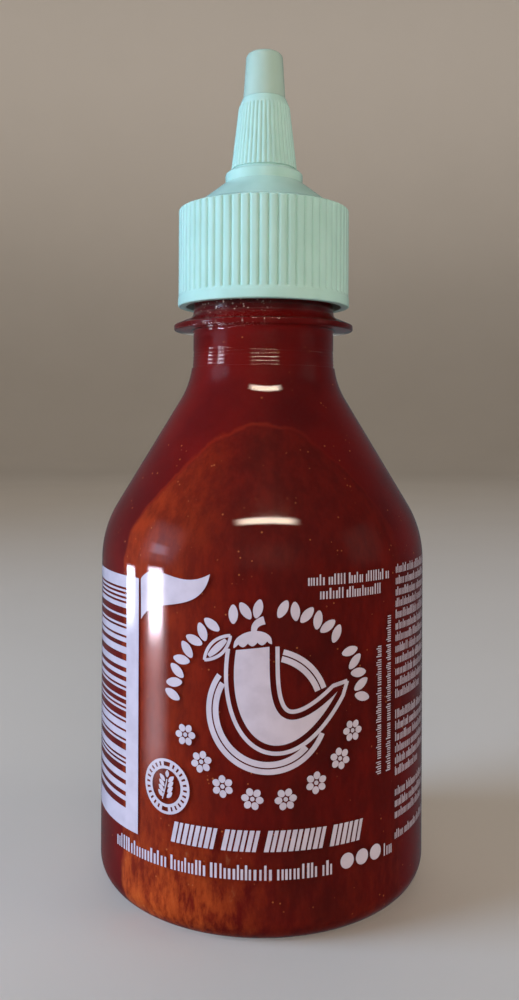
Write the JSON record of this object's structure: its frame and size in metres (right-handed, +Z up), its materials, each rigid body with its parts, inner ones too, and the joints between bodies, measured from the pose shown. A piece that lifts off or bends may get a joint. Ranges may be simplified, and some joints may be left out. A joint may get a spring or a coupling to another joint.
{
  "type": "chili sauce squeeze bottle",
  "caption": "Clear squeeze bottle full of red chili sauce, with a ribbed screw cap, a ribbed pouring spout and a small closed tip.",
  "frame": {"origin": "middle of the foot, on the surface that the bottle stands on", "axes": "+Z up along the bottle's axis; -Y is the front, where the main print is"},
  "size_m": [0.0586, 0.0586, 0.1501],
  "materials": {
    "clear_wall": "clear blown bottle plastic, glossy, with white print",
    "sauce": "thick dark red chili sauce with fine seeds and flakes",
    "cap_plastic": "mint green moulded plastic, satin gloss",
    "spout_plastic": "mint green moulded plastic, satin gloss",
    "tip_plastic": "slightly darker mint green moulded plastic, satin"
  },
  "bodies": {
    "root": {"bottle": "clear_wall", "sauce": "sauce", "cap": "cap_plastic", "spout": "spout_plastic", "tip": "tip_plastic"}
  },
  "joints": []
}
